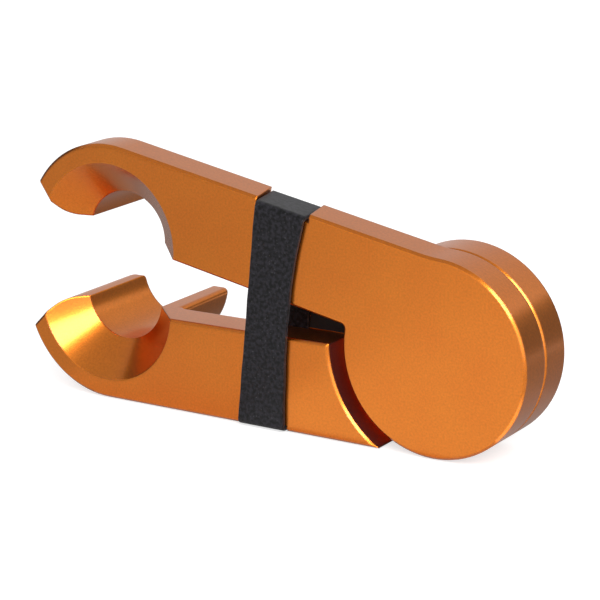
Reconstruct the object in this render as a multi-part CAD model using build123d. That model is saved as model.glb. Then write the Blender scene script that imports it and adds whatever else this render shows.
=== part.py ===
from build123d import *
from math import asin, cos, degrees, radians, sin, sqrt, tan
import os

# Scissor-type release tool for quick-connect line couplings.
# Lever frame: pivot axis along z at x = y = 0, jaw towards -x, material on the +y side of the
# parting line, z = depth from the front face. All lengths are in mm.

# plates
PLATE = 6.35            # thickness of the front layer
REAR_PLATE = 6.85       # thickness of the rear disc and web
RUN_GAP = 0.30          # gap between the two discs, kept by the thrust washer
DISC_R = 16.15          # pivot discs
UPPER_STEP = 0.35       # how far inside its disc the upper arm's outer edge runs
UPPER_R = DISC_R - UPPER_STEP
PARTING = 0.15          # inner edge of a lever, from the line through the pivot axis
REST_OPEN = 11.4        # angle between the levers at rest, degrees
CUT_GAP = 2.70          # round the front disc, to the concave cut of the lower arm
CUT_R = DISC_R + CUT_GAP
INNER_ROUND = 0.7       # corner between inner edge and front disc
NECK_ROUND = 30.0       # hollow where the upper arm's outer edge runs into the disc
EDGE = 0.40             # broken edges

# jaw
BORE_X = -62.7          # bore axis from the pivot axis
BORE_Y = -0.97
BORE_R = 7.60
SINK_R = 13.45          # countersink at the front face
SINK_DEPTH = 5.80
NOSE_R = 16.60          # nose arc about the bore axis
SLEEVE_R = 11.15        # outside, where it leaves the plate
SLEEVE_R_END = 10.70    # outside, at the rear end
SLEEVE_END = 21.95      # rear end of the half sleeve, from the front face
SLEEVE_ROUND = 1.2      # rounded outer rim at the rear end
LIP_ROUND = 0.8         # outer edge of the sleeve's lip, along the parting face
ROOT_ROUND = 0.5        # where the sleeve leaves the plate
NOSE_CUT_X = -73.3      # 45 degree cut of the nose, where it meets the parting line
NOSE_CUT_ROUND = 4.0
TIP_ROUND = 0.45

# rubber band and its grooves
BAND_THICK = 0.85
BAND_TOP_L = -33.45     # front run, left and right edge where it is highest
BAND_TOP_R = -23.70
BAND_NECK_L = -33.70    # below the flare of its right edge
BAND_NECK_R = -25.75
BAND_WAIST_L = -33.90   # where it is narrowest
BAND_WAIST_R = -26.10
BAND_LOW_L = -34.20     # where it is lowest
BAND_LOW_R = -25.35
BAND_REACH = 20.0       # heights of these four, from the line that halves the opening
BAND_NECK = 7.0
BAND_WAIST = -4.0
BAND_SKEW = 0.20        # sideways drift of its top run, per mm of depth
BAND_LIFT = 0.06        # clearance between rubber and metal
BAND_ROUND = 0.85
GROOVE_DEPTH = 1.30
GROOVE_OFF_L = 1.97     # walls of the upper groove at the front face, from the band's edges
GROOVE_OFF_R = 1.75
GROOVE_L = BAND_TOP_L - GROOVE_OFF_L
GROOVE_R = BAND_TOP_R - GROOVE_OFF_R
LOW_GROOVE_DEPTH = 0.95
LOW_GROOVE_OFF_L = 1.82 # walls of the lower groove
LOW_GROOVE_OFF_R = 1.60
LOW_GROOVE_L = BAND_LOW_L - LOW_GROOVE_OFF_L
LOW_GROOVE_R = BAND_LOW_R - LOW_GROOVE_OFF_R

# web that joins the rear disc to the lower arm
WEB_OFF_TOP = 0.10      # end of the web, from the band's right edge: at its top
WEB_OFF_HIP = 0.58      # at the parting line
WEB_OFF_FOOT = 1.58     # at the outer edge
WEB_LEFT = BAND_WAIST_R - WEB_OFF_TOP
WEB_HIP = BAND_WAIST_R - WEB_OFF_HIP
WEB_FOOT = BAND_LOW_R - WEB_OFF_FOOT
WEB_RISE = 5.4          # above the parting line
WEB_ROUND = 2.0

# pivot
SHOULDER_R = 4.0
BUSH_CLEAR = 0.04
BUSH_WALL = 1.46
BUSH_R = SHOULDER_R + BUSH_CLEAR + BUSH_WALL
THREAD_R = 3.0
THREAD_LEN = 3.4
SEAT_DEPTH = 0.6        # the shoulder's seat in the front disc
HEAD_R = 6.6
HEAD_H = 1.9
HEAD_BELOW = 0.15       # head below the rear face
HEAD_CLEAR = 0.8        # round the head, in its counterbore
HEAD_SINK_R = HEAD_R + HEAD_CLEAR
SOCKET_AF = 4.0         # hexagon across flats
SOCKET_DEPTH = 1.3
WASHER_H = 0.4
WASHER_STEP = 0.2       # washer inside the head's rim
WASHER_R = HEAD_R - WASHER_STEP
WASHER_PLAY = 0.05      # under the head
HEAD_SINK = HEAD_BELOW + HEAD_H + WASHER_PLAY + WASHER_H
THRUST_H = 0.8
THRUST_R = 7.7
WIRE_R = 0.55
COIL_TURNS = 2.25
COIL_PITCH = 1.16
COIL_CLEAR = 0.55       # beside the wire, in the pocket
COIL_LIFT = 0.15        # under the coil, in the front pocket
COIL_PLAY = 0.04        # over the coil, in the rear pocket
POCKET_OUT = 11.1
COIL_R = POCKET_OUT - COIL_CLEAR - WIRE_R
POCKET_IN = COIL_R - WIRE_R - COIL_CLEAR
POCKET_FRONT = 1.6
POCKET_REAR = COIL_LIFT + 2 * WIRE_R + COIL_TURNS * COIL_PITCH + COIL_PLAY - POCKET_FRONT
LEG = 3.6               # straight legs along the coil's tangents
LEG_CLEAR = 0.08

BIG = 200.0
REAR = PLATE + RUN_GAP + REAR_PLATE
JAW = Vector(BORE_X, BORE_Y)

SPAN = sqrt(BORE_X ** 2 + BORE_Y ** 2)


def edge_lean(pivot_r):
    """Lean of the outer edge, the common tangent of the nose arc and a circle about the pivot."""
    return asin((pivot_r - NOSE_R) / SPAN) - asin(BORE_Y / SPAN)


def edge_normal(pivot_r):
    """Unit vector square to the outer edge."""
    return Vector(-sin(edge_lean(pivot_r)), cos(edge_lean(pivot_r)))


def edge_y(x, depth=0.0, pivot_r=DISC_R):
    """Height of the outer edge above the parting side, less a depth square to it."""
    base = edge_normal(pivot_r) * (pivot_r - depth)
    return base.Y + (x - base.X) * tan(edge_lean(pivot_r))


LEAN = edge_lean(DISC_R)
DISC_TAN = edge_normal(DISC_R) * DISC_R


def prism(points, z0, z1):
    """Straight prism over a closed polygon."""
    outline = Polyline(*[(p[0], p[1]) for p in points], close=True)
    return Pos(0, 0, z0) * extrude(make_face(outline), amount=z1 - z0)


def rod(r, z0, z1, x=0.0, y=0.0):
    """Round bar along the depth."""
    return Pos(x, y, (z0 + z1) / 2) * Cylinder(r, z1 - z0)


def above_parting():
    """Half plane on the material side."""
    return Pos(-BIG / 4, PARTING + BIG / 2) * Rectangle(BIG, BIG)


def long_outline(pivot_r):
    """Nose arc, straight outer edge and disc in one face, cut at the parting line."""
    nose_end = JAW + edge_normal(pivot_r) * NOSE_R
    disc_end = edge_normal(pivot_r) * pivot_r
    strip = make_face(Polyline(
        (JAW.X, JAW.Y), (nose_end.X, nose_end.Y), (disc_end.X, disc_end.Y), (0, 0), close=True))
    face = strip + Pos(BORE_X, BORE_Y) * Circle(NOSE_R) + Circle(DISC_R)
    return face & above_parting()


def nose_side():
    """What the 45 degree cut of the nose leaves, with its rounded foot."""
    side = make_face(Polyline(
        (NOSE_CUT_X, PARTING), (BIG, PARTING), (BIG, BIG), (NOSE_CUT_X + PARTING - BIG, BIG), close=True))
    foot = side.vertices().sort_by_distance((NOSE_CUT_X, PARTING, 0))[0]
    return fillet(foot, NOSE_CUT_ROUND)


def nose_trim(face):
    """Cut the nose at 45 degrees and round its tip."""
    face = face & nose_side()
    tip = face.vertices().sort_by(Axis.X)[0]
    return fillet(tip, TIP_ROUND)


def groove(left, right, depth, pivot_r, skew):
    """Shallow groove for the band in the outer edge, its side walls askew like the band."""
    low_l = edge_y(left, depth, pivot_r)
    low_r = edge_y(right, depth, pivot_r)
    start = make_face(Polyline(
        (left, low_l), (right, low_r), (right, low_r + 4), (left, low_l + 4), close=True))
    run = Vector(-skew, -skew * tan(edge_lean(pivot_r)), 1)
    return Pos(run * -1) * extrude(start, amount=REAR, dir=run)


def sleeve():
    """Tapered half sleeve behind the plate, with a rounded rear rim and a small root round."""
    long = SLEEVE_END - PLATE
    body = Pos(BORE_X, BORE_Y, PLATE + long / 2) * Cone(SLEEVE_R, SLEEVE_R_END, long)
    rim = body.edges().filter_by(GeomType.CIRCLE).sort_by(Axis.Z)[-1]
    body = fillet(rim, SLEEVE_ROUND) + rod(SLEEVE_R, 0.5, PLATE, BORE_X, BORE_Y)
    root = Pos(BORE_X, BORE_Y, PLATE + ROOT_ROUND / 2) * Cone(SLEEVE_R + ROOT_ROUND, SLEEVE_R, ROOT_ROUND)
    half = (body + root) & extrude(nose_side(), amount=SLEEVE_END + 1)
    floor = half.faces().sort_by(Axis.Y)[0]
    lip = [e for e in floor.edges() if e.center().X > BORE_X + BORE_R and e.center().Z > PLATE + ROOT_ROUND]
    return fillet(lip, LIP_ROUND)


def bore():
    """Through bore with the front countersink."""
    hole = rod(BORE_R, -1, SLEEVE_END + 1, BORE_X, BORE_Y)
    slope = (SINK_R - BORE_R) / SINK_DEPTH
    cone = Cone(SINK_R + slope, BORE_R, SINK_DEPTH + 1)
    return hole + Pos(BORE_X, BORE_Y, (SINK_DEPTH - 1) / 2) * cone


def break_edges(solid, z, size, beyond=-BIG):
    """Small chamfer on the outline edges of one flat face, those right of a place along the arm."""
    flat = [f for f in solid.faces().filter_by(Axis.Z) if abs(f.center().Z - z) < 0.01]
    edges = []
    for f in flat:
        edges += [e for e in f.outer_wire().edges() if e.center().X > beyond]
    return chamfer(edges, size)


def upper_lever():
    """Front-layer arm and disc with the half sleeve, blind pivot hole and spring pocket."""
    face = nose_trim(long_outline(UPPER_R)) + Circle(DISC_R)
    corner = face.vertices().sort_by_distance((-DISC_R, PARTING, 0))[0]
    face = fillet(corner, INNER_ROUND)
    body = extrude(face, amount=PLATE)
    reach = sqrt(DISC_R ** 2 - UPPER_R ** 2)
    spot = (-reach, edge_y(-reach, 0, UPPER_R), PLATE / 2)
    neck = body.edges().filter_by(Axis.Z).sort_by_distance(spot)[0]
    body = fillet(neck, NECK_ROUND)
    body = break_edges(body, 0, EDGE)
    body = body - groove(GROOVE_L, GROOVE_R, GROOVE_DEPTH, UPPER_R, BAND_SKEW)
    body = body + sleeve() - bore()
    body = body - rod(SHOULDER_R + 0.02, PLATE - SEAT_DEPTH, PLATE + 1)
    body = body - rod(THREAD_R, PLATE - SEAT_DEPTH - THREAD_LEN - 0.4, PLATE + 1)
    ring = rod(POCKET_OUT, PLATE - POCKET_FRONT, PLATE + 1) - rod(POCKET_IN, 0, PLATE + 2)
    body = body - ring
    return body - leg_slot_front()


def web_face():
    """Rear-layer outline: disc and the tongue that carries the arm."""
    foot = (WEB_FOOT, edge_y(WEB_FOOT))
    end = (DISC_TAN.X, DISC_TAN.Y)
    tongue = make_face(Polyline(
        (WEB_LEFT, -WEB_RISE), (WEB_HIP, 0), foot, end, (0, 0), (0, -WEB_RISE), close=True))
    corner = tongue.vertices().sort_by_distance((WEB_LEFT, -WEB_RISE, 0))[0]
    tongue = fillet(corner, WEB_ROUND)
    return tongue + Circle(DISC_R)


def lower_lever():
    """Front-layer arm with the clearance cut, rear-layer web and disc, half sleeve."""
    face = nose_trim(long_outline(DISC_R)) - Circle(CUT_R)
    arm = extrude(face, amount=PLATE)
    arm = break_edges(arm, 0, EDGE)
    arm = arm - groove(LOW_GROOVE_L, LOW_GROOVE_R, LOW_GROOVE_DEPTH, DISC_R, 0)
    back = Pos(0, 0, PLATE + RUN_GAP) * extrude(web_face(), amount=REAR_PLATE)
    back = break_edges(back, REAR, EDGE)
    back = break_edges(back, PLATE + RUN_GAP, EDGE, WEB_LEFT + WEB_ROUND)
    lap = Pos(0, 0, PLATE - 1) * extrude(face & web_face(), amount=1.5)
    body = arm + back + lap + sleeve() - bore()
    body = body - rod(BUSH_R, PLATE, REAR + 1)
    body = body - rod(HEAD_SINK_R, REAR - HEAD_SINK, REAR + 1)
    body = body - rod(THRUST_R + 0.15, PLATE, PLATE + THRUST_H)
    ring = rod(POCKET_OUT, PLATE, PLATE + POCKET_REAR) - rod(POCKET_IN, 0, REAR)
    body = body - ring
    return body - leg_slot_rear()


COIL_LOW = PLATE - POCKET_FRONT + COIL_LIFT + WIRE_R
COIL_TOP = COIL_LOW + COIL_TURNS * COIL_PITCH
COIL_END = radians(360 * COIL_TURNS)


def leg_slot(z0, z1, turn):
    """Straight slot along the tangent at one end of the coil."""
    half = WIRE_R + LEG_CLEAR
    return Rot(Z=turn) * Pos(COIL_R, -LEG / 2, (z0 + z1) / 2) * Box(2 * half, LEG + 0.6, z1 - z0)


def leg_slot_front():
    """Slot of the front leg, in the front disc."""
    low = COIL_LOW - WIRE_R - LEG_CLEAR
    return mirror(leg_slot(low, PLATE + 1, -REST_OPEN), about=Plane.XZ)


def leg_slot_rear():
    """Slot of the rear leg, in the rear disc."""
    high = COIL_TOP + WIRE_R + LEG_CLEAR
    return Rot(Z=degrees(COIL_END)) * Pos(0, LEG, 0) * leg_slot(PLATE, high, 0)


def torsion_spring():
    """Coil with one tangential leg at each end."""
    coil = Pos(0, 0, COIL_LOW) * Helix(COIL_PITCH, COIL_TURNS * COIL_PITCH, COIL_R)
    low = coil @ 0 - (coil % 0) * LEG
    high = coil @ 1 + (coil % 1) * LEG
    path = Wire([Line(low, coil @ 0), coil, Line(coil @ 1, high)])
    profile = Plane(low, z_dir=coil % 0) * Circle(WIRE_R)
    return sweep(profile, path)


def pivot_screw():
    """Shoulder screw with a flat head and hexagon socket."""
    seat = PLATE - SEAT_DEPTH
    head_low = REAR - HEAD_BELOW - HEAD_H
    body = rod(THREAD_R, seat - THREAD_LEN, seat) + rod(SHOULDER_R, seat, head_low)
    head = rod(HEAD_R, head_low, head_low + HEAD_H)
    rim = head.edges().filter_by(GeomType.CIRCLE).sort_by(Axis.Z)[-1]
    head = chamfer(rim, EDGE)
    hexagon = RegularPolygon(SOCKET_AF / 2, 6, major_radius=False)
    socket = Pos(0, 0, head_low + HEAD_H - SOCKET_DEPTH) * extrude(hexagon, amount=SOCKET_DEPTH + 1)
    return body + head - socket


def spring_washer():
    """Washer between screw head and counterbore floor."""
    low = REAR - HEAD_SINK
    return rod(WASHER_R, low, low + WASHER_H) - rod(SHOULDER_R + 0.1, 0, REAR)


def pivot_bushing():
    """Plain bushing in the rear disc."""
    low = PLATE + THRUST_H
    return rod(BUSH_R, low, REAR - HEAD_SINK) - rod(SHOULDER_R + BUSH_CLEAR, 0, REAR)


def thrust_washer():
    """Washer between the two discs."""
    low = PLATE + 0.02
    return rod(THRUST_R, low, PLATE + THRUST_H - 0.02) - rod(SHOULDER_R + 0.1, 0, REAR)


def band_edge(x, tilt, lift, depth, pivot_r):
    """Height of an arm's groove floor plus a lift, in the frame that halves the opening."""
    lean = edge_lean(pivot_r)
    base = edge_normal(pivot_r) * (pivot_r - depth)
    turn = radians(tilt)
    bx = base.X * cos(turn) + base.Y * sin(turn)
    by = -base.X * sin(turn) + base.Y * cos(turn)
    return by + (x - bx) * tan(lean - turn) + lift / cos(lean - turn)


def rubber_band():
    """Flat loop round both arms, in the frame that halves the opening."""
    half = REST_OPEN / 2
    out = BAND_LIFT + BAND_THICK

    def wedge(x0, x1, lift, z0, z1):
        upper_l = -band_edge(x0, half, lift, GROOVE_DEPTH, UPPER_R)
        upper_r = -band_edge(x1, half, lift, GROOVE_DEPTH, UPPER_R)
        lower_l = band_edge(x0, half, lift, LOW_GROOVE_DEPTH, DISC_R)
        lower_r = band_edge(x1, half, lift, LOW_GROOVE_DEPTH, DISC_R)
        return prism([(x0, upper_l), (x1, upper_r), (x1, lower_r), (x0, lower_l)], z0, z1)

    outer = wedge(-60, -5, out, -out, PLATE + out)
    long_edges = outer.edges().filter_by(GeomType.LINE)
    rims = [e for e in long_edges if abs(e.tangent_at(0.5).X) > 0.9]
    outer = fillet(rims, BAND_ROUND)
    inner = wedge(-70, -1, BAND_LIFT, -BAND_LIFT, PLATE + BAND_LIFT)
    stations = (
        (-BAND_REACH, BAND_LOW_L, BAND_LOW_R),
        (BAND_WAIST, BAND_WAIST_L, BAND_WAIST_R),
        (BAND_NECK, BAND_NECK_L, BAND_NECK_R),
        (BAND_REACH, BAND_TOP_L, BAND_TOP_R))
    sections = []
    # the slab runs through the loop from below to above, and its rear edge leans
    for level, x0, x1 in stations:
        drift = BAND_SKEW * (PLATE + 2 * out) * (level + BAND_REACH) / (2 * BAND_REACH)
        ends = make_face(Polyline(
            (x0, -out), (x1, -out), (x1 - drift, PLATE + out), (x0 - drift, PLATE + out), close=True))
        # the section lies across the height: its second axis is the depth
        sections.append(Pos(0, -level, 0) * Rot(X=90) * ends)
    slab = loft(sections, ruled=True)
    return slab & (outer - inner)


def place(solid, tilt, mirrored):
    """Lever frame to row frame: depth to +Y, material side down, tilt in degrees about the pivot."""
    shape = Rot(X=-90) * solid
    if mirrored:
        shape = mirror(shape, about=Plane.XY)
    return Rot(Y=tilt) * shape


# the lower arm stands on its outer edge
STAND = degrees(LEAN)


def build():
    """All solids in the row frame, before the shift to the row origin."""
    low_tilt = -STAND
    high_tilt = low_tilt + REST_OPEN
    mid_tilt = low_tilt + REST_OPEN / 2
    solids = {
        "upper_lever": place(upper_lever(), high_tilt, True),
        "lower_lever": place(lower_lever(), low_tilt, False),
        "rubber_band": place(rubber_band(), mid_tilt, False),
        "pivot_screw": place(pivot_screw(), high_tilt, False),
        "pivot_bushing": place(pivot_bushing(), low_tilt, False),
        "thrust_washer": place(thrust_washer(), low_tilt, False),
        "spring_washer": place(spring_washer(), high_tilt, False),
        "torsion_spring": place(torsion_spring(), low_tilt, False),
    }
    return solids


parts = build()
boxes = [s.bounding_box() for s in parts.values()]
mid_x = (min(b.min.X for b in boxes) + max(b.max.X for b in boxes)) / 2
mid_y = (min(b.min.Y for b in boxes) + max(b.max.Y for b in boxes)) / 2
low_z = min(b.min.Z for b in boxes)
os.makedirs("parts", exist_ok=True)
for name, solid in parts.items():
    moved = Pos(-mid_x, -mid_y, -low_z) * solid
    export_step(moved, "parts/" + name + ".step")
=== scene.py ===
import bpy
import numpy as np
from mathutils import Matrix, Vector


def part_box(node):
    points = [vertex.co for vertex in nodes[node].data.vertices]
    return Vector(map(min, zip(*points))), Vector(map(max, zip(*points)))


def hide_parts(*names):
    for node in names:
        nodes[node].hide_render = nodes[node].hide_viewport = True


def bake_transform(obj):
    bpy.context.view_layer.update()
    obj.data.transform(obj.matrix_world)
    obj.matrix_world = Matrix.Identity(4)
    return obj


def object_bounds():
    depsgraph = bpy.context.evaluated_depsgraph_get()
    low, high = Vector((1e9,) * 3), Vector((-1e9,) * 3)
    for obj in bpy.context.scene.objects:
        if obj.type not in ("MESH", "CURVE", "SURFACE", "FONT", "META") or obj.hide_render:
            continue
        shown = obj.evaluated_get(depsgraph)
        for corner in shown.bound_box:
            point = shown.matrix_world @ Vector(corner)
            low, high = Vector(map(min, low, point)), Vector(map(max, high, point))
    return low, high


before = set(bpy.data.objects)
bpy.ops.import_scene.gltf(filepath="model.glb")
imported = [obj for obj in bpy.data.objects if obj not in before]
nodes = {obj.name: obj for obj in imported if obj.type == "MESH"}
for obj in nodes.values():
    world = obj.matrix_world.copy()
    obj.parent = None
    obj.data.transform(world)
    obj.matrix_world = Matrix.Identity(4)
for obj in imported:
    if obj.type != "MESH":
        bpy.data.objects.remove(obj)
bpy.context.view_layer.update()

# the size of the part alone, before anything is added
MM = 0.001

# ---------------------------------------------------------------------------------------
# Upper and lower lever: cut from aluminium plate, the half sleeves turned and split, then bead
# blasted and anodised gold-orange. The lower one's rubbing face, behind the gap, carries painted
# shade, a nearly black matt coat, and some of it lies on the wall of the cut, where shade falls too.
# ---------------------------------------------------------------------------------------
LAYER = 6.35 * MM            # thickness of the front layer
RUN_GAP = 0.30 * MM          # from its rear face to the front face of the rear disc
CUT_R = 18.85 * MM           # the lower arm's cut round the front disc
WEB_LINE = 15.9 * MM         # height of the lower arm's inner face, above which the painted shade shows
FACE_PLAY = 0.1 * MM         # the painted shade lies this near the rubbing face's plane
WALL_PLAY = 0.06 * MM        # and this near the radius of the cut
FRONTWARD = -0.95            # Y of the normal is below this on a face that looks forward
SIDEWAYS = 0.3               # and no further than this from zero on a wall
WALL_SHADE = 0.5                  # how much of the painted shade lies on the wall
SHADE_MOTTLE = 2.0 * MM             # size of the mottles in the painted shade
GRIT = 0.35 * MM             # spacing of the blasting pits, drawn a little too coarse so they show
PIT_DEPTH = 0.02 * MM
DYE_PATCH = 7.0 * MM         # size of the patches where the dye took a little more or less
EDGE_SOFTNESS = 0.45 * MM    # over which the tumbled edges look rounded
SLOPE = 0.71                 # how far a 45 degree slope faces the front, from 0 to 1
SLOPE_PLAY = 0.12

front_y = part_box("upper_lever")[0][1]
pivot_low, pivot_high = [Vector(c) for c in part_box("pivot_screw")]
pivot = (pivot_low + pivot_high) / 2
pivot.y = front_y


def linear(hex_colour):
    """sRGB hex to linear RGBA: v / 12.92 near black, else ((v + 0.055) / 1.055) to the 2.4."""
    raw = np.array([int(hex_colour[i:i + 2], 16) for i in (1, 3, 5)]) / 255.0
    lin = np.where(raw <= 0.04045, raw / 12.92, ((raw + 0.055) / 1.055) ** 2.4)
    return (float(lin[0]), float(lin[1]), float(lin[2]), 1.0)


def new_material(name):
    """A material with an empty node tree."""
    material = bpy.data.materials.new(name)
    material.use_nodes = True
    material.node_tree.nodes.clear()
    return material, material.node_tree


def add_node(tree, kind, settings=None, links=None):
    """One node. Settings are attributes or input values, links are inputs, each fed by a socket or
    by a node's first live output. A Mix node's colours are its inputs 6 and 7."""
    node = tree.nodes.new(kind)
    for key, value in (settings or {}).items():
        if isinstance(key, str) and hasattr(node, key):
            setattr(node, key, value)
        else:
            node.inputs[key].default_value = value
    for key, source in (links or {}).items():
        if isinstance(source, bpy.types.Node):
            source = next(socket for socket in source.outputs if socket.enabled)
        tree.links.new(source, node.inputs[key])
    return node


def wear_material(thing, material):
    """The whole object takes one material."""
    thing.data.materials.clear()
    thing.data.materials.append(material)


def normal_y(tree):
    """Y of the surface's own normal, which is -1 where it faces the front."""
    normal = add_node(tree, "ShaderNodeNewGeometry").outputs["True Normal"]
    return add_node(tree, "ShaderNodeSeparateXYZ", links={0: normal}).outputs["Y"]


def anodised_skin(tree):
    """Dyed oxide on blasted metal: satin, grainy close up and a little uneven in colour. What
    slopes at 45 degrees, the countersinks and broken edges, is turned and brighter."""
    place = add_node(tree, "ShaderNodeTexCoord").outputs["Object"]
    pits = add_node(tree, "ShaderNodeTexNoise", {"Scale": 1 / GRIT, "Detail": 2.0}, {"Vector": place})
    patch = add_node(tree, "ShaderNodeTexNoise", {"Scale": 1 / DYE_PATCH, "Detail": 3.0}, {"Vector": place})
    dye = add_node(tree, "ShaderNodeMix", {
        "data_type": "RGBA", 6: linear("#df7822"), 7: linear("#e58326")}, {0: patch})
    grain = add_node(tree, "ShaderNodeMapRange", {
        "From Min": 0.3, "From Max": 0.7, "To Min": 0.91, "To Max": 1.09}, {"Value": pits})
    speckled = add_node(tree, "ShaderNodeVectorMath", {"operation": "SCALE"}, {0: dye, "Scale": grain})
    soft = add_node(tree, "ShaderNodeBevel", {"samples": 8, "Radius": EDGE_SOFTNESS})
    bump = add_node(tree, "ShaderNodeBump", {"Strength": 0.25, "Distance": PIT_DEPTH},
                    {"Height": pits, "Normal": soft})
    turned = add_node(tree, "ShaderNodeMath", {"operation": "COMPARE", 1: -SLOPE, 2: SLOPE_PLAY},
                      {0: normal_y(tree)})
    satin = add_node(tree, "ShaderNodeMapRange", {"To Min": 0.29, "To Max": 0.26}, {"Value": turned})
    clear = add_node(tree, "ShaderNodeMapRange", {"To Min": 0.22, "To Max": 0.14}, {"Value": turned})
    return add_node(tree, "ShaderNodeBsdfPrincipled", {
        "Metallic": 1.0, "Coat Weight": 0.5, "Coat IOR": 1.46},
        {"Base Color": speckled, "Normal": bump, "Roughness": satin, "Coat Roughness": clear})


def painted_shade_cover(tree, place):
    """How much painted shade lies at a point: all of it on the rubbing face, which is in its plane, faces
    forward and is above the web, a share of it on the wall at the cut's radius, and else none."""
    facing = normal_y(tree)
    split = add_node(tree, "ShaderNodeSeparateXYZ", links={0: place})
    in_plane = add_node(tree, "ShaderNodeMath", {
        "operation": "COMPARE", 1: front_y + LAYER + RUN_GAP, 2: FACE_PLAY}, {0: split.outputs["Y"]})
    forward = add_node(tree, "ShaderNodeMath", {"operation": "LESS_THAN", 1: FRONTWARD}, {0: facing})
    above = add_node(tree, "ShaderNodeMath", {"operation": "GREATER_THAN", 1: WEB_LINE},
                     {0: split.outputs["Z"]})
    shaded_face = add_node(tree, "ShaderNodeMath", {"operation": "MULTIPLY"}, {0: in_plane, 1: forward})
    shaded_face = add_node(tree, "ShaderNodeMath", {"operation": "MULTIPLY"}, {0: shaded_face, 1: above})
    offset = add_node(tree, "ShaderNodeVectorMath", {"operation": "SUBTRACT", 1: pivot}, {0: place})
    offset = add_node(tree, "ShaderNodeVectorMath", {"operation": "MULTIPLY", 1: (1, 0, 1)}, {0: offset})
    radius = add_node(tree, "ShaderNodeVectorMath", {"operation": "LENGTH"}, {0: offset})
    in_cut = add_node(tree, "ShaderNodeMath", {"operation": "COMPARE", 1: CUT_R, 2: WALL_PLAY}, {0: radius})
    upright = add_node(tree, "ShaderNodeMath", {"operation": "COMPARE", 1: 0.0, 2: SIDEWAYS}, {0: facing})
    wall = add_node(tree, "ShaderNodeMath", {"operation": "MULTIPLY"}, {0: in_cut, 1: upright})
    wall = add_node(tree, "ShaderNodeMath", {"operation": "MULTIPLY", 1: WALL_SHADE}, {0: wall})
    return add_node(tree, "ShaderNodeMath", {"operation": "MAXIMUM"}, {0: shaded_face, 1: wall})


anodised, tree = new_material("bead-blasted anodised aluminium")
add_node(tree, "ShaderNodeOutputMaterial", links={"Surface": anodised_skin(tree)})
wear_material(nodes["upper_lever"], anodised)

# painted shade: nearly black and matt, it takes the shine away from the faces that lie in shade behind the
# gap
lever_with_painted_shade, tree = new_material("anodised aluminium with painted shade")
place = add_node(tree, "ShaderNodeTexCoord").outputs["Object"]
shade_mottle = add_node(tree, "ShaderNodeTexNoise", {"Scale": 1 / SHADE_MOTTLE, "Detail": 3.0}, {"Vector": place})
painted_shade_colour = add_node(tree, "ShaderNodeMix", {
    "data_type": "RGBA", 6: linear("#121417"), 7: linear("#24201f")}, {0: shade_mottle})
painted_shade_bsdf = add_node(tree, "ShaderNodeBsdfPrincipled", {"Roughness": 0.7, "Specular IOR Level": 0.25},
                {"Base Color": painted_shade_colour})
# painted shade mixed over the anodised skin where the lower lever lies in shade
both = add_node(tree, "ShaderNodeMixShader", links={
    0: painted_shade_cover(tree, place), 1: anodised_skin(tree), 2: painted_shade_bsdf})
add_node(tree, "ShaderNodeOutputMaterial", links={"Surface": both})
wear_material(nodes["lower_lever"], lever_with_painted_shade)

# ---------------------------------------------------------------------------------------
# Pivot bushing: pressed and sintered from bronze powder, soaked in oil and pushed into the rear
# disc. The shoulder of the screw runs in it.
# ---------------------------------------------------------------------------------------
PORES = 0.15 * MM            # spacing of the pores
PORE_DEPTH = 0.02 * MM

# a dull gold, darker where oil stands in the pores
bronze, tree = new_material("sintered bronze")
place = add_node(tree, "ShaderNodeTexCoord").outputs["Object"]
pores = add_node(tree, "ShaderNodeTexNoise", {"Scale": 1 / PORES, "Detail": 2.0}, {"Vector": place})
oily = add_node(tree, "ShaderNodeMix", {
    "data_type": "RGBA", 6: linear("#8d6a38"), 7: linear("#b08a4e")}, {0: pores})
bump = add_node(tree, "ShaderNodeBump", {"Strength": 0.3, "Distance": PORE_DEPTH}, {"Height": pores})
metal = add_node(tree, "ShaderNodeBsdfPrincipled", {"Metallic": 1.0, "Roughness": 0.45},
                 {"Base Color": oily, "Normal": bump})
add_node(tree, "ShaderNodeOutputMaterial", links={"Surface": metal})
wear_material(nodes["pivot_bushing"], bronze)

# ---------------------------------------------------------------------------------------
# Thrust washer: punched from nylon sheet. It lies in a recess of the rear disc and keeps the
# two discs from rubbing on each other.
# ---------------------------------------------------------------------------------------
GREASE = 3.0 * MM            # size of the greasy patches

# milky and half matt, smoother and yellower where grease lies
nylon, tree = new_material("plain nylon")
place = add_node(tree, "ShaderNodeTexCoord").outputs["Object"]
greased = add_node(tree, "ShaderNodeTexNoise", {"Scale": 1 / GREASE, "Detail": 3.0}, {"Vector": place})
ivory = add_node(tree, "ShaderNodeMix", {
    "data_type": "RGBA", 6: linear("#d6d1c0"), 7: linear("#e9e6dc")}, {0: greased})
sheen = add_node(tree, "ShaderNodeMapRange", {"To Min": 0.35, "To Max": 0.6}, {"Value": greased})
plastic = add_node(tree, "ShaderNodeBsdfPrincipled", {"IOR": 1.53},
                   {"Base Color": ivory, "Roughness": sheen})
add_node(tree, "ShaderNodeOutputMaterial", links={"Surface": plastic})
wear_material(nodes["thrust_washer"], nylon)

# ---------------------------------------------------------------------------------------
# Torsion spring: oil-tempered wire coiled in the pocket between the discs, with its legs in
# straight slots. The front leg turns with the upper lever, the rear leg with the lower one.
# ---------------------------------------------------------------------------------------
LOWER_TILT = np.radians(-0.475)  # of the lower lever, which stands on its outer edge
WIRE_R = 0.55 * MM
COIL_R = 10.0 * MM           # to the middle of the wire
COIL_TURNS = 2.25
COIL_PITCH = 1.16 * MM
COIL_DEPTH = 5.45 * MM       # from the front face to the middle of the wire where the coil starts
LEG = 3.6 * MM               # each straight leg
RINGS_PER_TURN = 48
RINGS_PER_LEG = 10
RING_POINTS = 16
TEMPER_PATCH = 0.8 * MM      # size of the patches in the scale that tempering leaves


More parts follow.
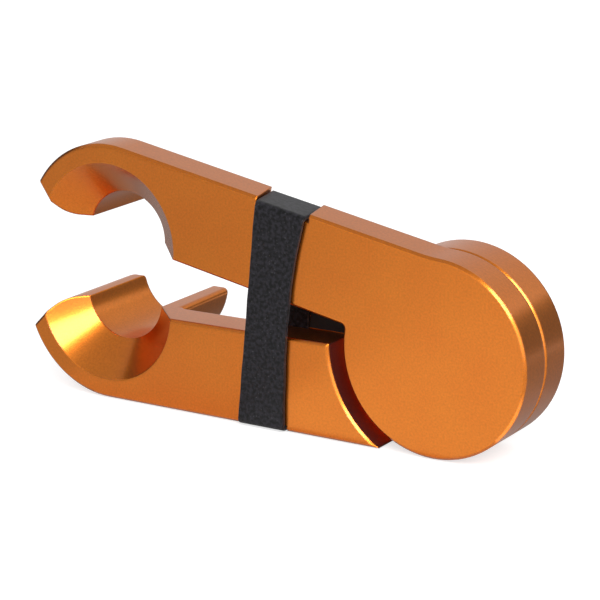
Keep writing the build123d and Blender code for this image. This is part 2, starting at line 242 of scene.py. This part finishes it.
def grid_mesh(name, points, loop=True):
    """Mesh of n rings of m points each, n by m by 3, that close in a loop or are capped."""
    n, m = points.shape[:2]
    i = np.arange(n if loop else n - 1)[:, None]
    j = np.arange(m)[None, :]
    i2 = (i + 1) % n
    j2 = (j + 1) % m
    grid = np.stack(np.broadcast_arrays(i * m + j, i2 * m + j, i2 * m + j2, i * m + j2), -1)
    faces = grid.reshape(-1, 4).tolist()
    if not loop:
        faces += [list(range(m)), list(range(n * m - 1, n * m - m - 1, -1))]
    mesh = bpy.data.meshes.new(name)
    mesh.from_pydata(points.reshape(-1, 3).tolist(), [], faces)
    mesh.shade_smooth()
    piece = bpy.data.objects.new(name, mesh)
    bpy.context.scene.collection.objects.link(piece)
    return piece


def on_arms(points, tilt):
    """From a line through the pivot (along, depth, height) to the frame: the line is turned about
    the pivot by its tilt."""
    x, depth, level = points[..., 0], points[..., 1], points[..., 2]
    return np.stack([
        pivot.x + x * np.cos(tilt) + level * np.sin(tilt),
        front_y + depth,
        pivot.z - x * np.sin(tilt) + level * np.cos(tilt)], -1)


def spring_points():
    """Wire along the helix R (cos, sin) at depth D + pitch times the turn, and on along its
    tangents. A ring square to it is r (cos a out + sin a side), with out away from the axis."""
    turn = np.linspace(0, COIL_TURNS, round(COIL_TURNS * RINGS_PER_TURN) + 1)
    angle = 2 * np.pi * turn
    climb = COIL_PITCH / (2 * np.pi * COIL_R)
    out = np.stack([np.cos(angle), np.sin(angle), 0 * angle], -1)
    along = np.stack([-np.sin(angle), np.cos(angle), climb + 0 * angle], -1) / np.hypot(1, climb)
    centre = COIL_R * out
    centre[:, 2] = COIL_DEPTH + COIL_PITCH * turn
    share = np.linspace(1, 1 / RINGS_PER_LEG, RINGS_PER_LEG)[:, None]
    first, last = share * LEG * along[:1], share[::-1] * LEG * along[-1:]
    centre = np.concatenate([centre[:1] - first, centre, centre[-1:] + last])
    times = np.ones(len(turn), int)
    times[[0, -1]] += RINGS_PER_LEG
    out, along = np.repeat(out, times, axis=0), np.repeat(along, times, axis=0)
    side = np.cross(out, along)
    ring = np.linspace(0, 2 * np.pi, RING_POINTS, endpoint=False)[None, :, None]
    points = centre[:, None] + WIRE_R * (np.cos(ring) * out[:, None] + np.sin(ring) * side[:, None])
    return np.stack([points[..., 0], points[..., 2], -points[..., 1]], -1)


spring = grid_mesh("spring", on_arms(spring_points(), LOWER_TILT), loop=False)

# dark grey, with a shine that comes and goes with the scale
spring_steel, tree = new_material("oil-tempered spring steel")
place = add_node(tree, "ShaderNodeTexCoord").outputs["Object"]
scale = add_node(tree, "ShaderNodeTexNoise", {"Scale": 1 / TEMPER_PATCH, "Detail": 3.0}, {"Vector": place})
temper = add_node(tree, "ShaderNodeMix", {
    "data_type": "RGBA", 6: linear("#5c5b5e"), 7: linear("#838388")}, {0: scale})
drawn = add_node(tree, "ShaderNodeMapRange", {"To Min": 0.28, "To Max": 0.44}, {"Value": scale})
wire = add_node(tree, "ShaderNodeBsdfPrincipled", {"Metallic": 1.0},
                {"Base Color": temper, "Roughness": drawn})
add_node(tree, "ShaderNodeOutputMaterial", links={"Surface": wire})
wear_material(spring, spring_steel)
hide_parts("torsion_spring")
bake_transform(spring)

# ---------------------------------------------------------------------------------------
# Pivot screw and spring washer: a shoulder screw, turned from steel and zinc plated, driven from
# the rear into the front disc, over a washer of spring steel. Only its head shows.
# ---------------------------------------------------------------------------------------
SPANGLE = 1.5 * MM           # size of the crystals in the zinc

# bright but clouded, as the crystals catch the light in turn
plated, tree = new_material("zinc-plated steel")
place = add_node(tree, "ShaderNodeTexCoord").outputs["Object"]
spangle = add_node(tree, "ShaderNodeTexNoise", {"Scale": 1 / SPANGLE, "Detail": 3.0}, {"Vector": place})
dull = add_node(tree, "ShaderNodeMapRange", {"To Min": 0.26, "To Max": 0.42}, {"Value": spangle})
steel = add_node(tree, "ShaderNodeBsdfPrincipled", {"Metallic": 1.0, "Base Color": linear("#b4b4b6")},
                 {"Roughness": dull})
add_node(tree, "ShaderNodeOutputMaterial", links={"Surface": steel})
wear_material(nodes["pivot_screw"], plated)
wear_material(nodes["spring_washer"], spring_steel)

# ---------------------------------------------------------------------------------------
# Rubber band: a flat loop of black natural rubber, slit from tube, that holds both arms.
# It lies in their grooves, its top run pulled a little askew, and dust clings to it.
# ---------------------------------------------------------------------------------------
BAND_T = 0.85 * MM
BAND_TILT = np.radians(5.225)  # the line that halves the arms' opening
HEIGHTS = np.array([-20.0, -4.0, 7.0, 20.0]) * MM            # above that line
LEFT_EDGE = np.array([-34.20, -33.90, -33.70, -33.45]) * MM  # front run's edges there
RIGHT_EDGE = np.array([-25.35, -26.10, -25.75, -23.70]) * MM
BAND_MID = -29.0 * MM        # where the two inner heights are taken
BAND_TOP = 17.444 * MM       # inner face of the top run, above the pivot
BAND_LOW = 17.976 * MM       # inner face of the bottom run, below it
TOP_SLOPE = -0.0971          # the top run falls towards the pivot
LOW_SLOPE = -0.0914          # and the bottom run rises towards it
BAND_SKEW = 0.20             # drift of the top run's rear edge, per unit of depth
SKEW_REACH = 20.0 * MM       # height at which that drift is full above and nil below
REAR_SPREAD = 0.35 * MM      # how much further its right edge reaches at the rear
CORNER = 0.2 * MM            # inner radius where it bends round an arm's edge
LIFT = 0.06 * MM             # clearance between rubber and metal
EDGE_SOFT = 0.22 * MM        # rounded edges of the strip
EDGE_WAVE = 0.05 * MM        # unevenness of the slit edges
WAVE_SHORT = 1.3 * MM        # the lengths of its two waves, each over 2 pi
WAVE_LONG = 4.1 * MM
CRUMB = 0.6 * MM             # crumbs in the skin, drawn a little too coarse so they show
CRUMB_DEPTH = 0.04 * MM
DUST = 0.5 * MM              # spacing of the specks of dust


def rounded_ring(n_arc, flats):
    """Walk round a rounded rectangle, whose points are (a A + r c, b B + r s). Per corner it has an
    arc of n angles, then points along the next side at the given shares. Returns rows a, b, c, s."""
    arc = np.linspace(0, np.pi / 2, n_arc)
    turns = np.concatenate([arc + k * np.pi / 2 for k in range(4)])
    sign_a = np.repeat([1.0, -1.0, -1.0, 1.0], n_arc)
    sign_b = np.repeat([1.0, 1.0, -1.0, -1.0], n_arc)
    walk = np.stack([sign_a, sign_b, np.cos(turns), np.sin(turns)], -1)
    rows = []
    for k in range(4):
        block = walk[k * n_arc:(k + 1) * n_arc]
        following = walk[((k + 1) % 4) * n_arc]
        share = np.array(flats[k % 2])[:, None]
        rows += [block, block[-1] * (1 - share) + following * share]
    return np.concatenate(rows).T


def band_points():
    """Loop of the strip. Round the loop, depth = a (D / 2 - r) + (r + t) cos and height likewise with
    sin, where t is the distance out from the inner face. Across it, x runs from the left edge to
    the right edge, both cubics of the height, less the drift of the top run with depth and plus
    the spread to the rear."""
    # where the loop's rings and a ring's points lie along their straight sides, as shares of them
    over_arm, beside_arm = [0.04, 0.35, 0.65, 0.96], [0.01, *np.linspace(0.04, 0.96, 24), 0.99]
    over_strip, through_strip = [0.03, 0.3, 0.7, 0.97], [0.5]
    a, b, c, s = [row[:, None] for row in rounded_ring(8, [over_arm, beside_arm])]
    wa, wb, wc, ws = [row[None, :] for row in rounded_ring(5, [over_strip, through_strip])]
    width = np.mean(RIGHT_EDGE - LEFT_EDGE)
    side = wa * (width / 2 - EDGE_SOFT) + EDGE_SOFT * wc
    outward = BAND_T / 2 + wb * (BAND_T / 2 - EDGE_SOFT) + EDGE_SOFT * ws
    half_depth = LAYER / 2 + LIFT
    depth = LAYER / 2 + a * (half_depth - CORNER) + (CORNER + outward) * c
    left_fit = np.polyfit(HEIGHTS / MM, LEFT_EDGE, 3)
    right_fit = np.polyfit(HEIGHTS / MM, RIGHT_EDGE, 3)
    share = side / width + 0.5
    level = b * (BAND_TOP - CORNER) + (CORNER + outward) * s + 0 * side
    # the edges hang on the height, and the sloping runs on the edges: three rounds settle both
    for _ in range(3):
        left, right = np.polyval(left_fit, level / MM), np.polyval(right_fit, level / MM)
        wave = EDGE_WAVE * np.sin(level / WAVE_SHORT) * np.sin(level / WAVE_LONG + 1.0)
        along = left + share * (right - left) + wave * np.sign(side)
        top = BAND_TOP + TOP_SLOPE * (along - BAND_MID)
        low = BAND_LOW + LOW_SLOPE * (along - BAND_MID)
        arm = (1 + b) / 2 * (top - CORNER) - (1 - b) / 2 * (low - CORNER)
        level = arm + (CORNER + outward) * s
    drift = BAND_SKEW * (depth + BAND_T) * (level + SKEW_REACH) / (2 * SKEW_REACH)
    spread = REAR_SPREAD * share * (depth + BAND_T) / LAYER
    return np.stack([along - drift + spread, depth + 0 * side, level], -1)


band = grid_mesh("band", on_arms(band_points(), BAND_TILT))

# a matt black skin with a crumb to it, and here and there a grey speck of dust
rubber, tree = new_material("black natural rubber")
place = add_node(tree, "ShaderNodeTexCoord").outputs["Object"]
crumb = add_node(tree, "ShaderNodeTexNoise", {"Scale": 1 / CRUMB, "Detail": 4.0}, {"Vector": place})
worn = add_node(tree, "ShaderNodeMapRange", {"From Min": 0.4, "From Max": 0.6}, {"Value": crumb})
black = add_node(tree, "ShaderNodeMix", {
    "data_type": "RGBA", 6: linear("#020203"), 7: linear("#1f1d23")}, {0: worn})
dust = add_node(tree, "ShaderNodeTexVoronoi", {"Scale": 1 / DUST}, {"Vector": place})
spot = add_node(tree, "ShaderNodeMapRange", {
    "From Min": 0.06, "From Max": 0.3, "To Min": 1.0, "To Max": 0.0}, {"Value": dust})
pick = add_node(tree, "ShaderNodeSeparateColor", links={0: dust.outputs["Color"]})
amount = add_node(tree, "ShaderNodeMapRange", {
    "From Min": 0.35, "From Max": 1.0, "To Min": 0.0, "To Max": 0.2}, {"Value": pick})
dusty = add_node(tree, "ShaderNodeMath", {"operation": "MULTIPLY"}, {0: spot, 1: amount})
shade = add_node(tree, "ShaderNodeMix", {"data_type": "RGBA", 7: linear("#777579")}, {0: dusty, 6: black})
bump = add_node(tree, "ShaderNodeBump", {"Strength": 0.6, "Distance": CRUMB_DEPTH}, {"Height": crumb})
skin = add_node(tree, "ShaderNodeBsdfPrincipled", {
    "Roughness": 0.42, "IOR": 1.5, "Specular IOR Level": 0.2, "Sheen Weight": 0.08},
    {"Base Color": shade, "Normal": bump})
add_node(tree, "ShaderNodeOutputMaterial", links={"Surface": skin})
wear_material(band, rubber)
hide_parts("rubber_band")
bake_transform(band)

# ---------------------------------------------------------------------------------------
# Tent and floor: the tool lies on white paper in a tent of white cloth, which gives plain soft
# light. Looked at, both come out white, but for the tool's shadow.
# ---------------------------------------------------------------------------------------
TENT_LIGHT = 0.8
PAPER = 0.59                 # share of the light that the paper gives back to the tool
PAPER_SEEN = 0.46            # and to the camera, for which it is lifted to white out of the shadow
PAPER_LIFT = 0.68
PAPER_SIZE = 6.0             # metres
PAPER_DROP = 0.2 * MM        # how far it lies under the tool, so that they don't touch

low, high = [Vector(c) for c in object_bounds()]
middle = (low + high) / 2
scene = bpy.context.scene
scene.view_settings.view_transform = "Standard"

world = bpy.data.worlds.new("studio")
scene.world = world
world.use_nodes = True
tree = world.node_tree
tree.nodes.clear()
path = add_node(tree, "ShaderNodeLightPath").outputs
seen = add_node(tree, "ShaderNodeMath", {"operation": "MAXIMUM"},
                {0: path["Is Camera Ray"], 1: path["Is Transmission Ray"]})
seen = add_node(tree, "ShaderNodeMath", {"operation": "MAXIMUM"}, {0: seen, 1: path["Is Glossy Ray"]})
tent = add_node(tree, "ShaderNodeBackground", {"Strength": TENT_LIGHT, "Color": (1, 1, 1, 1)})
white = add_node(tree, "ShaderNodeBackground", {"Strength": 1.0, "Color": (1, 1, 1, 1)})
mix = add_node(tree, "ShaderNodeMixShader", links={0: seen, 1: tent, 2: white})
add_node(tree, "ShaderNodeOutputWorld", links={"Surface": mix})

paper_mat, tree = new_material("white paper")
path = add_node(tree, "ShaderNodeLightPath").outputs
paper = add_node(tree, "ShaderNodeBsdfDiffuse", {"Color": (PAPER, PAPER, PAPER, 1)})
faint = add_node(tree, "ShaderNodeBsdfDiffuse", {"Color": (PAPER_SEEN, PAPER_SEEN, PAPER_SEEN, 1)})
lift = add_node(tree, "ShaderNodeEmission", {"Color": (1, 1, 1, 1), "Strength": PAPER_LIFT})
lifted = add_node(tree, "ShaderNodeAddShader", links={0: faint, 1: lift})
mix = add_node(tree, "ShaderNodeMixShader", links={0: path["Is Camera Ray"], 1: paper, 2: lifted})
add_node(tree, "ShaderNodeOutputMaterial", links={"Surface": mix})
bpy.ops.mesh.primitive_plane_add(size=PAPER_SIZE, location=(middle.x, middle.y, low.z - PAPER_DROP))
floor = bpy.context.object
floor.name = "floor"
wear_material(floor, paper_mat)

# ---------------------------------------------------------------------------------------
# Cards and key lamp: grey and bright cards stand round the tool or lie beside it for the metal
# to mirror, and show in nothing but reflections. One soft box hangs to the right, in front.
# ---------------------------------------------------------------------------------------
KEY_TOWARDS = (0.575, -0.57, 0.585)  # from the tool
KEY_DISTANCE = 0.8           # metres, as its sides are
KEY_WIDTH = 0.5
KEY_LENGTH = 0.38
KEY_LEAN = np.radians(33.0)  # it is turned about its own axis
KEY_POWER = 5.8              # watts


def card(name, centre, width, height, grey, aim=None):
    """Rectangle that only reflections see, with places and sizes in mm. It faces the point that it
    is aimed at, or lies face up."""
    material, tree = new_material(name)
    glow = add_node(tree, "ShaderNodeEmission", {"Color": (grey, grey, grey, 1), "Strength": 1.0})
    add_node(tree, "ShaderNodeOutputMaterial", links={"Surface": glow})
    w, h = width / 2 * MM, height / 2 * MM
    mesh = bpy.data.meshes.new(name)
    mesh.from_pydata([(-w, -h, 0), (w, -h, 0), (w, h, 0), (-w, h, 0)], [], [(0, 1, 2, 3)])
    mesh.materials.append(material)
    sheet = bpy.data.objects.new(name, mesh)
    scene.collection.objects.link(sheet)
    facing = Vector(aim) - Vector(centre) if aim else Vector((0, 0, 1))
    turn = facing.to_track_quat("Z", "Y").to_matrix().to_4x4()
    sheet.matrix_world = Matrix.Translation(Vector(centre) * MM) @ turn
    sheet.visible_camera = False
    sheet.visible_diffuse = False
    sheet.visible_shadow = False
    sheet.visible_transmission = False


card("grey backdrop", (-150, 420, 230), 900, 420, 0.62, aim=(0, 0, 20))
card("tent roof", (-150, -50, 420), 900, 700, 0.52, aim=(0, 0, 0))
card("dark wall, front left", (-260, -230, 60), 260, 150, 0.25, aim=(0, 0, 20))
card("dark wall, left", (-285, 30, 60), 330, 260, 0.1, aim=(0, 0, 20))
card("dark wall, back right", (80, 112, 26), 220, 72, 0.2, aim=(10, 0, 16))
card("bright wall, right", (300, -190, 70), 200, 220, 2.0, aim=(0, 0, 20))
card("dark floor, back right", (75, 48, 0.3), 80, 60, 0.3)
card("dark floor, back left", (-75, 62, 0.3), 130, 97, 0.27)
card("dark floor, behind the web", (-5, 27, 0.4), 40, 28, 0.19)
card("dim floor, beside the jaw", (-57, 2, 0.4), 44, 26, 0.34)
card("dim floor, beside the disc", (51, 8, 0.4), 34, 20, 0.35)
card("dim floor, front left", (-115, -80, 0.3), 140, 130, 0.58)
card("pale floor, front right", (22.5, -62, 0.3), 57, 100, 0.98)
card("bright floor, under the disc", (52, -15.5, 0.4), 18, 13, 1.7)

key = bpy.data.lights.new("key", "AREA")
key.shape = "RECTANGLE"
key.size = KEY_WIDTH
key.size_y = KEY_LENGTH
key.energy = KEY_POWER
lamp = bpy.data.objects.new("key", key)
scene.collection.objects.link(lamp)
away = Vector(KEY_TOWARDS).normalized() * KEY_DISTANCE
turn = away.to_track_quat("Z", "Y").to_matrix().to_4x4()
lamp.matrix_world = Matrix.Translation(middle + away) @ turn @ Matrix.Rotation(KEY_LEAN, 4, "Z")

# ---------------------------------------------------------------------------------------
# Camera: a long lens, to the right of the tool and a little above it. Its place is taken from
# the pivot, at the front face.
# ---------------------------------------------------------------------------------------
CAMERA_LENS = 143.18         # in mm, as the sensor is
CAMERA_SENSOR = 36.0
CAMERA_PLACE = Vector((171.981, -306.746, 106.994)) * MM
CAMERA_VIEW = Vector((-0.51873, 0.81227, -0.26673))
CAMERA_RIGHT = Vector((0.84449, 0.53544, -0.01176))

optics = bpy.data.cameras.new("camera")
optics.sensor_width = CAMERA_SENSOR
optics.lens = CAMERA_LENS
optics.clip_start = 0.01
camera = bpy.data.objects.new("camera", optics)
scene.collection.objects.link(camera)
up = CAMERA_RIGHT.cross(CAMERA_VIEW)
turn = Matrix((CAMERA_RIGHT, up, -CAMERA_VIEW)).transposed().to_4x4()
camera.matrix_world = Matrix.Translation(pivot + CAMERA_PLACE) @ turn
scene.camera = camera
